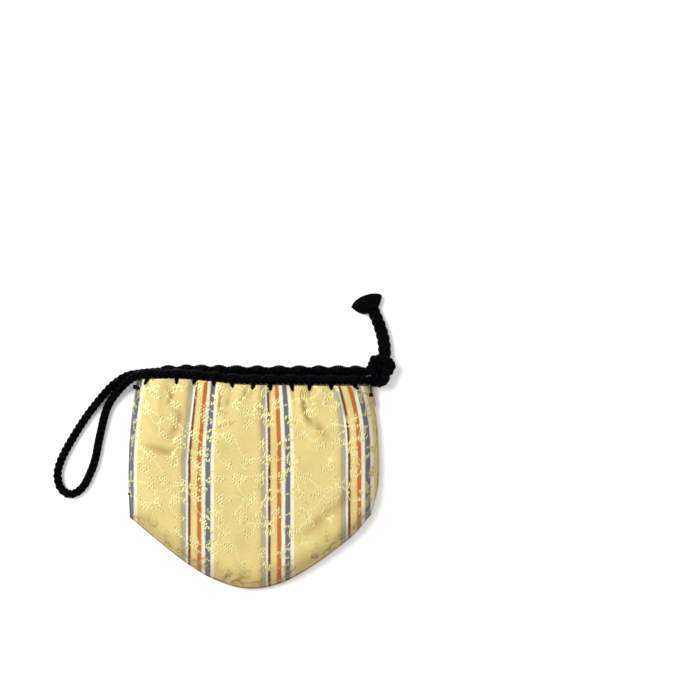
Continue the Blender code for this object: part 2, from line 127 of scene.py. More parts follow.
# The knot's turns, each a stretch of the same braid, in mm
KNOT_TURNS = (
    (
        (53.4, 44.3, 8.1), (56.4, 43.1, 8.0), (59.6, 43.5, 7.2),
        (61.2, 46.0, 5.8), (60.4, 49.0, 4.4), (57.6, 50.8, 3.6),
    ),
    (
        (53.4, 48.4, 4.0), (54.7, 51.2, 5.0), (55.6, 53.8, 5.8), (58.8, 54.2, 6.8),
        (61.8, 53.4, 7.0), (63.7, 51.3, 6.6), (62.6, 48.4, 5.6), (60.4, 46.8, 5.0),
    ),
    (
        (56.0, 52.6, 4.4), (55.2, 49.2, 6.6), (56.6, 46.2, 7.8),
        (59.4, 45.6, 7.8), (61.2, 47.9, 7.2), (60.4, 51.0, 6.4),
    ),
    ((55.3, 42.6, 5.6), (57.6, 46.6, 3.6), (60.0, 49.6, 3.2), (60.6, 53.2, 2.8), (60.6, 57.0, 2.6)),
    ((57.2, 46.4, 4.8), (58.2, 49.2, 5.0), (58.4, 51.4, 4.8), (58.2, 53.4, 4.4)),
)
TAIL_ROUTE = (
    (60.5, 54.6, 3.4), (60.6, 56.8, 2.8), (60.6, 58.8, 2.7), (60.2, 62.4, 2.7),
    (59.2, 66.6, 2.6), (57.8, 70.9, 2.5), (56.8, 73.2, 2.5), (55.4, 76.5, 2.4),
)
HEAD_OUTLINE = (
    (45.0, 78.2), (46.7, 80.8), (49.8, 83.0), (53.5, 84.3), (57.6, 84.5), (59.3, 83.6),
    (58.9, 81.0), (57.6, 77.9), (54.4, 76.0), (51.6, 74.9), (49.0, 75.3), (46.4, 76.9),
)


def smoothstep(x):
    x = np.clip(x, 0.0, 1.0)
    return x * x * (3 - 2 * x)


def smooth_line(points):
    """A smooth line through the points, as a function of the share of its length from the first."""
    points = np.asarray(points, float)
    steps = np.linalg.norm(np.diff(points, axis=0), axis=1)
    knots = np.concatenate([[0.0], np.cumsum(steps)]) / steps.sum()
    low = np.maximum(np.arange(len(points)) - 1, 0)
    high = np.minimum(np.arange(len(points)) + 1, len(points) - 1)
    slopes = (points[high] - points[low]) / (knots[high] - knots[low])[:, None]

    def at(share):
        share = np.asarray(share, float)
        i = np.clip(np.searchsorted(knots, share) - 1, 0, len(points) - 2)
        span = (knots[i + 1] - knots[i])[..., None]
        u = (share - knots[i])[..., None] / span
        return (
            points[i] * (2 * u**3 - 3 * u**2 + 1)
            + slopes[i] * span * (u**3 - 2 * u**2 + u)
            + points[i + 1] * (3 * u**2 - 2 * u**3)
            + slopes[i + 1] * span * (u**3 - u**2)
        )

    return at


def in_metres(points):
    return np.asarray(points, float) * MM


def outline(shares):
    placed = []
    for x, y in shares:
        placed.append((x * BODY_WIDTH, CORNER_Y + y * (SIDE_HEIGHT if y > 0 else POINT_DEPTH)))
    return smooth_line(placed)


def unit(vectors):
    return vectors / np.linalg.norm(vectors, axis=-1, keepdims=True)


def run_along(points):
    """How far along a line each of its points lies."""
    return np.concatenate([[0.0], np.cumsum(np.linalg.norm(np.diff(points, axis=0), axis=1))])


def placed(name, data):
    """A new object in the scene."""
    made = bpy.data.objects.new(name, data)
    bpy.context.scene.collection.objects.link(made)
    return made


def new_piece(name, verts, faces, look, *nodes):
    """A shown piece that rides on the body and stands for the CAD nodes."""
    mesh = bpy.data.meshes.new(name)
    mesh.from_pydata(verts.tolist(), [], faces)
    mesh.validate()
    mesh.materials.append(look)
    mesh.shade_smooth()
    made = placed(name, mesh)
    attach(made, "root")
    if nodes:
        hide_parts(*nodes)
    return made


class Graph:
    """Short calls that build one material's nodes."""

    def __init__(self, name):
        self.material = bpy.data.materials.new(name)
        self.material.use_nodes = True
        self.tree = self.material.node_tree
        self.shader = self.tree.nodes["Principled BSDF"]

    def put(self, socket, value):
        if isinstance(value, bpy.types.NodeSocket):
            self.tree.links.new(value, socket)
        else:
            socket.default_value = value

    def node(self, kind, inputs=(), output=0, **settings):
        made = self.tree.nodes.new(kind)
        for name, value in settings.items():
            setattr(made, name, value)
        for key, value in dict(inputs).items():
            self.put(made.inputs[key], value)
        return made.outputs[output]

    def math(self, operation, a, b=0.0, clamp=False):
        return self.node("ShaderNodeMath", {0: a, 1: b}, operation=operation, use_clamp=clamp)

    def plus(self, a, b, clamp=False):
        return self.math("ADD", a, b, clamp)

    def minus(self, a, b):
        return self.math("SUBTRACT", a, b)

    def times(self, a, b):
        return self.math("MULTIPLY", a, b)

    def uv(self, name):
        return self.node("ShaderNodeUVMap", uv_map=name)

    def read(self, name):
        """A number that the mesh holds at each of its points."""
        return self.node("ShaderNodeAttribute", output=2, attribute_name=name)

    def axes(self, vector):
        """The X and the Y of a vector."""
        parts = self.tree.nodes.new("ShaderNodeSeparateXYZ")
        self.put(parts.inputs[0], vector)
        return parts.outputs[0], parts.outputs[1]

    def combine(self, x, y, z=0.0):
        return self.node("ShaderNodeCombineXYZ", {0: x, 1: y, 2: z})

    def noise(self, vector, scale, detail=2.0, roughness=0.5):
        inputs = {"Vector": vector, "Scale": scale, "Detail": detail, "Roughness": roughness}
        return self.node("ShaderNodeTexNoise", inputs)

    def step(self, value, low, high, to_low=0.0, to_high=1.0):
        inputs = {0: value, 1: low, 2: high, 3: to_low, 4: to_high}
        return self.node("ShaderNodeMapRange", inputs, interpolation_type="SMOOTHSTEP")

    def mix(self, share, first, second, blend="MIX"):
        made = self.tree.nodes.new("ShaderNodeMix")
        made.data_type = "RGBA"
        made.blend_type = blend
        self.put(made.inputs[0], share)
        self.put(made.inputs[6], first)
        self.put(made.inputs[7], second)
        return made.outputs[2]

    def ramp(self, share, stops, interpolation="CONSTANT"):
        made = self.tree.nodes.new("ShaderNodeValToRGB")
        made.color_ramp.interpolation = interpolation
        elements = made.color_ramp.elements
        while len(elements) < len(stops):
            elements.new(1.0)
        for element, (place, colour) in zip(elements, stops):
            element.position = place
            element.color = colour
        self.put(made.inputs[0], share)
        return made.outputs[0]

    def bump(self, height, distance, strength=1.0):
        inputs = {"Height": height, "Distance": distance, "Strength": strength}
        self.put(self.shader.inputs["Normal"], self.node("ShaderNodeBump", inputs))

    def set(self, **values):
        for name, value in values.items():
            self.put(self.shader.inputs[name.replace("_", " ")], value)


def srgb(red, green, blue):
    """A colour given as 0 to 255 in sRGB, as the linear colour that a node takes."""
    channels = []
    for value in (red, green, blue):
        share = value / 255
        channels.append(share / 12.92 if share < 0.04045 else ((share + 0.055) / 1.055) ** 2.4)
    return (*channels, 1.0)


# How much brighter than its own colour the studio shows a flat surface
EXPOSURE = 1.74


def seen(red, green, blue):
    """The colour of a surface that shows as this one, in 0 to 255, in the studio."""
    channels = srgb(red, green, blue)
    return (*(value / EXPOSURE for value in channels[:3]), 1.0)


# Where each stripe of the cloth starts, in pixels from a brown one's left edge, and how it shows
STRIPE_REPEAT = 80.0
STRIPES = (
    (0.0, 84, 48, 26), (2.1, 206, 150, 92), (3.0, 236, 213, 136), (9.0, 198, 111, 12),
    (13.2, 253, 246, 216), (16.9, 104, 108, 114), (22.5, 253, 246, 216), (25.7, 233, 212, 133),
    (70.2, 230, 198, 126), (72.6, 176, 175, 134), (78.1, 254, 248, 226),
)
# The weave, in mm: the floats' slant, half their pitch across and along their rows, and the threads' pitch
FLOAT_RIGHT = 0.45
FLOAT_UP = 0.89
FLOAT_ROW = 0.62
FLOAT_RUN = 1.8
WARP_PITCH = 0.3
WEFT_PITCH = 0.34
WEAVE_RELIEF = 0.02 * MM
FLOAT_SHADOW = seen(140, 106, 30)
# The gold floats' own colour, the same with a painted sheen, and the same darkened by the painted shade near
# the edges
GOLD_DULL = seen(238, 218, 130)
GOLD_PAINTED_SHEEN = seen(255, 252, 176)
GOLD_IN_PAINTED_SHADE = seen(140, 110, 46)
# What the colour is multiplied with where the painted shade of a crease, or of the cloth beside a seam, is
# darkest
PAINTED_SHADE_TINT = (0.50, 0.40, 0.20, 1)
WHITE = (1, 1, 1, 1)
LINING_THREAD = 0.35 * MM
LINING_RELIEF = 0.05 * MM
LINING_COLOURS = ((0.3, seen(222, 184, 154)), (0.7, seen(244, 214, 184)))
SILK_RELIEF = 0.07 * MM
SILK_COLOURS = ((0.25, (1, 1, 1)), (0.55, (3, 2, 4)), (0.85, (14, 11, 20)))


def striped_ground(graph, across_stripes, across, along):
    """The stripes, whose edges step from thread to thread."""
    teeth = graph.minus(graph.math("PINGPONG", along, 0.5), 0.25)
    wobble = graph.minus(graph.noise(graph.combine(graph.times(across, 0.6), along), 1.9), 0.5)
    shifted = graph.plus(graph.plus(across_stripes, teeth), graph.times(wobble, 1.1))
    share = graph.math("FRACT", graph.math("DIVIDE", shifted, STRIPE_REPEAT * PIXEL / MM))
    return graph.ramp(share, [(place / STRIPE_REPEAT, seen(*colour)) for place, *colour in STRIPES])


def gold_floats(graph, slant, lean, surface):
    """Short slanting stitches, set like bricks inside the figure, and the thin shadow between them."""
    drift = graph.noise(surface, 0.12, 0.0)
    row = graph.math("COSINE", graph.plus(graph.times(slant, math.pi / FLOAT_ROW), graph.times(drift, 9.0)))
    place = graph.math("COSINE", graph.plus(graph.times(lean, math.pi / FLOAT_RUN), graph.times(drift, 5.0)))
    ragged = graph.minus(graph.noise(graph.combine(slant, graph.times(lean, 0.35)), 1.4, 1.0), 0.5)
    stitch = graph.plus(graph.times(row, place), graph.times(ragged, 1.6))
    inside = graph.step(graph.read("figure"), -0.15, 0.1)
    stem = graph.times(graph.step(graph.read("vine"), -0.12, 0.08), graph.step(row, -0.9, 0.1))
    floats = graph.times(graph.step(stitch, -0.12, 0.12), inside)
    shadow = graph.times(graph.step(stitch, -0.2, -0.55), inside)
    return graph.math("MAXIMUM", floats, graph.times(stem, 0.85)), shadow


def brocade_look():
    """Striped silk with a small vine and blossom figure floated over it in gold thread."""
    graph = Graph("brocade_finish")
    across_stripes = graph.axes(graph.uv("cloth"))[0]
    across, along = graph.axes(graph.uv("weave"))
    surface = graph.combine(across, along)
    slant = graph.minus(graph.times(across, FLOAT_UP), graph.times(along, FLOAT_RIGHT))
    lean = graph.plus(graph.times(across, FLOAT_RIGHT), graph.times(along, FLOAT_UP))
    ground = striped_ground(graph, across_stripes, across, along)
    floats, shadow = gold_floats(graph, slant, lean, surface)

    # Grain, dark specks and cloudy changes of tone keep the ground from being flat
    grain = graph.noise(graph.combine(graph.times(across, 1.6), along), 1.7, 3.0)
    clouds = graph.noise(surface, 0.09, 3.0)
    specks = graph.step(graph.noise(graph.combine(slant, graph.times(lean, 0.6)), 1.9, 1.0), 0.60, 0.74)
    tone = graph.plus(graph.times(grain, 0.42), graph.times(clouds, 0.38))
    tone = graph.minus(graph.plus(tone, 0.61), graph.times(specks, 0.20))
    colour = graph.mix(1.0, ground, graph.combine(tone, tone, tone), "MULTIPLY")

    # Painted shade: creases and the cloth near the seams are made darker and warmer
    turned = graph.read("turned")
    folded = graph.times(graph.read("painted_fold_shade"), graph.plus(graph.times(grain, 1.4), 0.35))
    painted_darkness = graph.plus(folded, graph.times(turned, 0.42), clamp=True)
    colour = graph.mix(1.0, colour, graph.mix(painted_darkness, WHITE, PAINTED_SHADE_TINT), "MULTIPLY")
    colour = graph.mix(graph.times(shadow, 0.6), colour, FLOAT_SHADOW)
    # Painted sheen: patches of the gold are brighter, and near the edges the painted shade darkens it
    gloss = graph.step(graph.noise(surface, 0.13, 2.0), 0.30, 0.50)
    gold = graph.mix(turned, graph.mix(gloss, GOLD_DULL, GOLD_PAINTED_SHEEN), GOLD_IN_PAINTED_SHADE)

    # Warp and weft are fine lines, and the floats stand proud of them
    warp = graph.math("SINE", graph.times(across, 2 * math.pi / WARP_PITCH))
    weft = graph.math("SINE", graph.times(along, 2 * math.pi / WEFT_PITCH))
    threads = graph.plus(graph.times(warp, 0.12), graph.times(weft, 0.12))
    graph.bump(graph.plus(threads, floats), WEAVE_RELIEF, 0.5)
    graph.set(Base_Color=graph.mix(floats, colour, gold), Metallic=graph.times(floats, 0.2))
    graph.set(Roughness=graph.minus(0.62, graph.times(floats, 0.22)))
    graph.set(Specular_IOR_Level=0.3, Sheen_Weight=0.05)
    return graph.material


def lining_look():
    """Thin plain weave in a dull pink."""
    graph = Graph("lining_finish")
    place = graph.node("ShaderNodeTexCoord", output=3)
    x, y = graph.axes(place)
    warp = graph.math("SINE", graph.times(x, 2 * math.pi / LINING_THREAD))
    weft = graph.math("SINE", graph.times(y, 2 * math.pi / LINING_THREAD))
    slubs = graph.noise(place, 900.0, 4.0)
    graph.bump(graph.plus(graph.times(graph.times(warp, weft), 0.3), slubs), LINING_RELIEF, 0.6)
    graph.set(Base_Color=graph.ramp(slubs, LINING_COLOURS, "LINEAR"), Roughness=0.7, Specular_IOR_Level=0.3)
    return graph.material


def silk_look(name, plies, strand, light=1.0):
    """Black silk with a blue to violet gloss, whose plies wind once in three widths of the strand, in mm."""
    graph = Graph(name)
    around, along = graph.axes(graph.uv("strand"))
    turn = graph.plus(around, graph.times(along, 1 / (strand * 3)))
    ply = graph.math("SINE", graph.times(turn, 2 * math.pi * plies))
    fibres = graph.noise(graph.combine(graph.times(turn, 30.0), graph.times(along, 0.7)), 1.0, 3.0)
    stops = [(place, srgb(*(channel * light for channel in colour))) for place, colour in SILK_COLOURS]
    graph.bump(graph.plus(graph.times(ply, 0.5), fibres), SILK_RELIEF, 0.8)
    graph.set(Base_Color=graph.ramp(fibres, stops, "LINEAR"), Roughness=0.4, IOR=1.08)
    return graph.material


# How far a gather leans, as a share of its width, and a tuck, as a share of the mouth, at PUFF_REACH below it
GATHER_LEAN = 0.10
TUCK_LEAN = 0.012
# The back comes to rest on the table a little before its seams have rolled to the full height
BACK_ROLL = 1.06
# How far up the folded edge stands where the seam itself is
EDGE_START = 0.1


class Skin:
    """The outer face of one panel. s runs from left to right, t from the bottom edge to the mouth."""

    def __init__(self, side, loops):
        self.side = side
        mouth = FRONT_MOUTH if side > 0 else BACK_MOUTH
        self.bottom = outline(BOTTOM_EDGE)
        self.mouth = outline(mouth)
        self.left = outline((*LEFT_SIDE, mouth[0]))
        self.right = outline((*RIGHT_SIDE, mouth[-1]))
        self.loops = [float(self.share_at(x * MM)) for x in loops]

    def share_at(self, x):
        """The share of the mouth's length at which it passes x."""
        shares = np.linspace(0, 1, 4001)
        return np.interp(x, self.mouth(shares)[:, 0], shares)

    def flat(self, s, t):
        """X and Y, blended from the four edges."""
        s, t = np.broadcast_arrays(np.asarray(s, float), np.asarray(t, float))
        start, end = np.zeros_like(s), np.ones_like(s)
        right, up = s[..., None], t[..., None]
        low = self.bottom(start) * (1 - right) + self.bottom(end) * right
        high = self.mouth(start) * (1 - right) + self.mouth(end) * right
        along = self.bottom(s) * (1 - up) + self.mouth(s) * up
        across = self.left(t) * (1 - right) + self.right(t) * right
        return along + across - low * (1 - up) - high * up

    def length(self, s):
        return np.linalg.norm(self.mouth(s) - self.bottom(s), axis=-1)

    def width(self, t):
        return np.linalg.norm(self.right(t) - self.left(t), axis=-1)

    def gathers(self, s, below):
        """How far the cloth stands out between two stitches, and a sharp tuck at each stitch."""
        stops = [0.0, *self.loops, 1.0]
        puff = np.zeros_like(s)
        for i, (start, end) in enumerate(zip(stops, stops[1:])):
            reach = PUFF_REACH + PUFF_REACH_CHANGE * math.sin(2.4 * i + 1)
            lean = GATHER_LEAN * math.sin(3.1 * i) * below / PUFF_REACH
            place = (s - start) / (end - start) + lean
            width = np.sin(np.pi * np.clip(place, 0, 1))
            puff += PUFF * width**2 * np.exp(-((below / reach) ** 2))
        return puff - TUCK_DEPTH * self.tucks(s, below)

    def tucks(self, s, below):
        """How deep in the short tuck below a stitch each place is, from 0 to 1."""
        share = np.zeros_like(s)
        for i, stop in enumerate(self.loops):
            reach = TUCK_REACH + TUCK_REACH_CHANGE * math.sin(4.7 * i)
            drift = TUCK_LEAN * math.sin(2.9 * i + 0.6) * below / PUFF_REACH
            aside = (s - stop - drift) * BODY_WIDTH
            share += np.exp(-((aside / TUCK_WIDTH) ** 2)) * np.exp(-((below / reach) ** 2))
        return share

    def height(self, s, t, puffed=True):
        half_gap = FIT_GAP / 2
        below = (1 - t) * self.length(s)
        near_mouth = smoothstep(1 - below / MOUTH_REGION)
        from_side = np.minimum(s, 1 - s) * self.width(t)
        from_bottom = t * self.length(s)
        across = roll(from_side)
        full = across * roll(from_bottom)
        turned = edge_turn(np.minimum(from_side, from_bottom))
        slit = SLIT_OPENING * (1 - across) * smoothstep(1 - (1 - t) * self.length(0.0) / SLIT_DEPTH)
        puff = self.gathers(s, below) * across if puffed else 0.0
        if self.side > 0:
            rise = FRONT_RISE + (FRONT_RISE_AT_MOUTH - FRONT_RISE) * near_mouth
            return SEAM_HEIGHT + (half_gap + CLOTH) * turned + rise * full + slit + puff
        seam = SEAM_HEIGHT - (half_gap + CLOTH) * turned
        resting = seam * (1 - np.minimum(1.0, BACK_ROLL * full))
        lifted = BACK_MOUTH_LIFT * near_mouth
        return np.maximum(resting, np.minimum(lifted, seam + lifted * across)) - puff * near_mouth


def roll(distance):
    """Share of the full height at a distance from a seam: a flat flange, then a rounded edge."""
    x = np.clip((distance - SEAM_FLANGE) / EDGE_ROLL, 0.0, 1.0)
    return np.sqrt(1 - (1 - x) ** 2)


def edge_turn(distance):
    """How far the folded edge has come up from the seam line."""
    x = np.clip(distance / SEAM_FLANGE, 0.0, 1.0)
    return EDGE_START + (1 - EDGE_START) * np.sqrt(1 - (1 - x) ** 2)


FRONT = Skin(1, FRONT_LOOPS)
BACK = Skin(-1, BACK_LOOPS)


# About how high the front lies where it is creased
CREASE_HEIGHT = 11.0 * MM
# The height and the width of the soft rim beside a crease, as shares of its own
CREASE_RIM = 0.45
CREASE_RIM_WIDTH = 2.2
# The soft unevenness of the cloth: long low waves in many directions
WAVES = 9
WAVE_HEIGHT = 0.055 * MM
# The creases as pixel points of the photograph, with a depth and a width in mm: a minus sign is a ridge
CREASES = (
    (((219, 385), (220.6, 398), (219.6, 408), (223, 413.5), (228, 413)), 0.83, 0.7),
    (((217, 428.5), (224, 425.5), (230, 425), (236, 421)), 0.60, 0.6),
    (((168, 388), (171.5, 396), (168, 404)), 0.83, 1.0),
    (((174, 409), (180, 415), (176, 428), (170, 440)), 0.68, 1.8),
    (((146, 446), (158, 449.5), (168, 452), (178, 450)), 0.60, 2.0),
    (((249, 387), (243, 396), (240, 401)), 0.68, 0.8),
    (((229, 399), (227, 406)), 0.45, 0.8),
    (((302, 392), (304, 404), (307, 416), (313, 424)), 0.90, 1.3),
    (((316, 421), (322, 432), (328, 438)), 0.60, 1.8),
    (((193, 396), (199, 410), (203, 424), (196, 434)), -0.68, 2.2),
    (((338, 390), (343, 402), (345, 414)), 0.75, 1.0),
    (((312, 398), (318, 412)), -0.60, 1.8),
    (((160, 392), (158, 404), (160, 416)), -0.52, 1.8),
    (((262, 392), (260, 412), (263, 432)), 0.45, 1.8),
    (((230, 588), (238, 580), (250, 577)), 0.52, 0.9),
    (((222, 584), (226, 578), (232, 574)), 0.45, 0.9),
    (((332, 508), (318, 522), (306, 534)), 0.52, 2.4),
    (((352, 484), (344, 500), (330, 516)), 0.45, 2.6),
)


def pixel_at(z):
    """The size of a pixel at a height."""
    return PIXEL * (1 - (z - VIEW_CENTRE.z) / VIEW_HEIGHT)


def from_pixels(points, z):
    """Places in the photograph as X and Y in metres, at a height."""
    pixel = pixel_at(z)
    points = np.asarray(points, float)
    x = VIEW_CENTRE.x + (points[:, 0] - PHOTO_SIDE / 2) * pixel
    y = VIEW_CENTRE.y - (points[:, 1] - PHOTO_SIDE / 2) * pixel
    return np.stack([x, y], axis=1)


def creased(x, y):
    """How creases and waves change the height of the cloth, and how much painted shade each place gets from
    lying deep in a crease.
    """
    change = np.zeros_like(x)
    painted_fold_shade = np.zeros_like(x)
    for points, depth, width in CREASES:
        shares = np.linspace(0, 1, 30)
        line = smooth_line(from_pixels(points, CREASE_HEIGHT))(shares)
        fade = np.sin(np.pi * (0.08 + 0.84 * shares)) ** 0.7
        apart = np.hypot(x[..., None] - line[:, 0], y[..., None] - line[:, 1])
        nearest = apart.argmin(axis=-1)
        distance = np.take_along_axis(apart, nearest[..., None], axis=-1)[..., 0] / (width * MM)
        valley = np.exp(-(distance**2))
        rim = CREASE_RIM * np.exp(-((distance / CREASE_RIM_WIDTH) ** 2))
        change -= depth * MM * fade[nearest] * (valley - rim)
        painted_fold_shade = np.maximum(painted_fold_shade, depth * fade[nearest] * valley)
    for i in range(WAVES):
        angle = 2.39 * i
        wave = (9 + 2.7 * i % 7) * MM
        phase = (x * math.cos(angle) + y * math.sin(angle)) * 2 * math.pi / wave + 1.7 * i
        change += WAVE_HEIGHT * np.sin(phase)
    return change, painted_fold_shade


# How far each stripe leans inwards at the mouth, in pixels, against its place lower down
LEAN_AT = (128.0, 188.0, 268.0, 348.0, 378.0)
LEAN = (7.6, 7.4, -1.4, -9.6, -9.6)
LEAN_POWER = (1.6, 1.15, 1.6, 2.5, 2.5)
LEAN_FROM_Y = 462.0
MOUTH_Y = 388.0
MOST_LEAN = 1.15
# How far the left edge, and less of the cloth up to EDGE_SHIFT_END, is pulled round, in pixels
EDGE_SHIFT = 3.2
EDGE_SHIFT_START = 134.0
EDGE_SHIFT_END = 152.0


def cloth_place(x, y, z):
    """Place on the cloth in mm: across the stripes, from the left edge of a brown one, and along them."""
    pixel = pixel_at(z)
    px = PHOTO_SIDE / 2 + (x - VIEW_CENTRE.x) / pixel
    py = PHOTO_SIDE / 2 - (y - VIEW_CENTRE.y) / pixel
    share = np.clip((LEAN_FROM_Y - py) / (LEAN_FROM_Y - MOUTH_Y), 0, MOST_LEAN)
    share **= np.interp(px, LEAN_AT, LEAN_POWER)
    straight = px.copy()
    for _ in range(4):
        edge = smoothstep((EDGE_SHIFT_END - straight) / (EDGE_SHIFT_END - EDGE_SHIFT_START))
        straight = px - np.interp(straight, LEAN_AT, LEAN) * share - EDGE_SHIFT * edge
    return (straight - LEAN_AT[1]) * PIXEL / MM, y / MM


# The figure's repeat in mm, its blossoms across and up one repeat, and how finely it is drawn
FIGURE_WIDTH = 74.0
FIGURE_HEIGHT = 50.0
FIGURE_COLUMNS = 7
FIGURE_ROWS = 6
FIGURE_STEP = 0.1
# Its forms in mm: a ring and the eye in it, two scallops, the leaves of a fan and of a vine, and a vine
RING = 2.7
EYE = 0.8
SCALLOPS = (1.6, 2.0)
SCALLOPS_APART = 2.1
FAN_LEAF = 3.4
VINE_LEAF = 2.6
LEAF_HALF_WIDTH = 0.7
VINE_HALF_WIDTH = 0.32
VINE_SWELL = 3.2
# How far the back panel's stripes lie to the side of the front's, in mm
BACK_STRIPE_SHIFT = 9.0


def figure_strokes():
    """One repeat as points with a half width, in mm: leaves, scrolls and blossoms, and then the vines."""
    chance = np.random.default_rng(11)
    strokes = []
    vines = []

    def stroke(xs, ys, widths, kept=strokes):
        kept.append(np.stack([xs, ys, np.broadcast_to(widths, np.shape(xs))], axis=1))

    def leaf(x, y, angle, length):
        run = np.linspace(0, 1, 24)
        bend = 0.35 * np.sin(np.pi * run)
        xs = x + length * (run * math.cos(angle) - bend * 0.4 * math.sin(angle))
        ys = y + length * (run * math.sin(angle) + bend * 0.4 * math.cos(angle))
        stroke(xs, ys, LEAF_HALF_WIDTH * np.sin(np.pi * np.clip(run * 0.94 + 0.03, 0, 1)) ** 0.8)

    def arc(x, y, size, start, end, width):
        angle = np.linspace(start, end, 40)
        stroke(x + size * np.cos(angle), y + size * np.sin(angle), width)

    def ring(x, y, turn):
        arc(x, y, RING, turn, turn + 4.5, 0.62)
        arc(x + 0.3 * math.cos(turn), y + 0.3 * math.sin(turn), EYE, turn + 2.6, turn + 5.4, 0.42)

    def scallops(x, y, turn):
        for k, size in zip((-1, 1), SCALLOPS):
            px, py = x + SCALLOPS_APART * k * math.cos(turn), y + SCALLOPS_APART * k * math.sin(turn)
            arc(px, py, size, turn + 0.6 * k, turn + 0.6 * k + 4.2, 0.56)

    def fan(x, y, turn):
        for k in (-1.5, -0.5, 0.5, 1.5):
            angle = turn + 0.62 * k
            leaf(x + EYE * math.cos(angle), y + EYE * math.sin(angle), angle, FAN_LEAF - 0.4 * abs(k))

    across = FIGURE_WIDTH / FIGURE_COLUMNS
    up = FIGURE_HEIGHT / FIGURE_ROWS
    places = np.empty((FIGURE_ROWS, FIGURE_COLUMNS, 2))
    for row in range(FIGURE_ROWS):
        for column in range(FIGURE_COLUMNS):
            x = (column + 0.5 * (row % 2) + 0.25) * across + chance.uniform(-1.6, 1.6)
            y = (row + 0.5) * up + 1.5 * math.sin(2.1 * column + 1.3 * row) + chance.uniform(-0.9, 0.9)
            places[row, column] = x, y
            (ring, fan, scallops)[(column + 2 * row + row // 3) % 3](x, y, chance.uniform(0, 2 * math.pi))
    for row in range(FIGURE_ROWS):
        for column in range(FIGURE_COLUMNS):
            x0, y0 = places[row, column]
            to_row = (row + (1, 0, -1)[(row + column) % 3]) % FIGURE_ROWS
            x1, y1 = places[to_row, (column + 1 - (row % 2)) % FIGURE_COLUMNS]
            x1 = x0 + (x1 - x0 + FIGURE_WIDTH / 2) % FIGURE_WIDTH - FIGURE_WIDTH / 2
            y1 = y0 + (y1 - y0 + FIGURE_HEIGHT / 2) % FIGURE_HEIGHT - FIGURE_HEIGHT / 2
            run = np.linspace(0, 1, 60)
            swell = VINE_SWELL if column % 2 else -VINE_SWELL
            swell = np.sin(np.pi * run) * swell + 1.5 * np.sin(2 * np.pi * run + row)
            away = np.array([y0 - y1, x1 - x0]) / max(math.hypot(x1 - x0, y1 - y0), 1)
            xs, ys = x0 + (x1 - x0) * run + away[0] * swell, y0 + (y1 - y0) * run + away[1] * swell
            stroke(xs, ys, VINE_HALF_WIDTH, vines)
            leaf(xs[34], ys[34], chance.uniform(0, 2 * math.pi), VINE_LEAF)
    return np.concatenate(strokes), np.concatenate(vines)


def tile_of(strokes):
    """How far inside the strokes each place of one repeat lies, in mm, below 0 outside them."""
    columns = round(FIGURE_WIDTH / FIGURE_STEP)
    rows = round(FIGURE_HEIGHT / FIGURE_STEP)
    tile = np.full((rows, columns), -1.0)
    reach = 14
    window = np.arange(-reach, reach + 1)
    for x, y, half in strokes:
        i = round(x / FIGURE_STEP) + window
        j = round(y / FIGURE_STEP) + window
        apart = np.hypot((i * FIGURE_STEP - x)[None, :], (j * FIGURE_STEP - y)[:, None])
        here = np.ix_(j % rows, i % columns)
        tile[here] = np.maximum(tile[here], half - apart)
    return tile


FIGURE, VINES = (tile_of(strokes) for strokes in figure_strokes())


def tile_at(tile, across, along):
    """A tile read at places on the cloth, between its own points."""
    i = across / FIGURE_STEP
    j = along / FIGURE_STEP
    rows, columns = tile.shape
    i0, j0 = np.floor(i).astype(int), np.floor(j).astype(int)
    di, dj = i - i0, j - j0
    value = 0.0
    for oi, wi in ((0, 1 - di), (1, di)):
        for oj, wj in ((0, 1 - dj), (1, dj)):
            value = value + tile[(j0 + oj) % rows, (i0 + oi) % columns] * wi * wj
    return value


def spread(count, length, fine_start, fine_end):
    """Shares from 0 to 1 with given distances at each end and even steps between them."""
    start = [distance / length for distance in fine_start]
    end = [1 - distance / length for distance in reversed(fine_end)]
    middle = count - len(start) - len(end)
    step = (end[0] - start[-1]) / (middle + 1)
    return np.array(start + [start[-1] + step * (i + 1) for i in range(middle)] + end)


def grid_faces(columns, rows, flip=False):
    faces = []
    for i, j in np.ndindex(columns - 1, rows - 1):
        a = i * rows + j
        corners = (a, a + rows, a + rows + 1, a + 1)
        faces.append(corners[::-1] if flip else corners)
    return faces


SEAM_STEPS = np.array([0, 0.12, 0.3, 0.55, 0.8, 0.98, 1.05, 1.2, 1.45, 1.8, 2.25]) * MM
MOUTH_STEPS = np.array([0, 0.25, 0.6, 1.0]) * MM
FRONT_GRID = (236, 190)
BACK_GRID = (200, 160)
# Creases and waves fade to this share at the seams, over this distance
EDGE_CREASES = 0.12
EDGE_FADE = 5 * MM
# How dark the painted shade in a tuck and along the seam line is, and how wide that line is
TUCK_SHADE = 0.75
SEAM_SHADE = 0.8
SEAM_SHADE_WIDTH = 0.7 * MM
# How far in the painted shade of the edges reaches from the bottom edge, from the right edge and from the
# lower right
BOTTOM_SHADE_REACH = 14 * MM
RIGHT_SHADE_REACH = 10 * MM
CORNER_SHADE_REACH = 48 * MM
RIGHT_SHADE = 0.7
CORNER_SHADE = 0.20


def run_over(grid, axis):
    """How far each point of a grid lies from its middle line, in mm over the cloth's own surface."""
    steps = np.linalg.norm(np.diff(grid, axis=axis), axis=2)
    run = np.concatenate([np.zeros_like(steps.take([0], axis)), np.cumsum(steps, axis=axis)], axis=axis)
    return (run - run.take([run.shape[axis] // 2], axis)) / MM


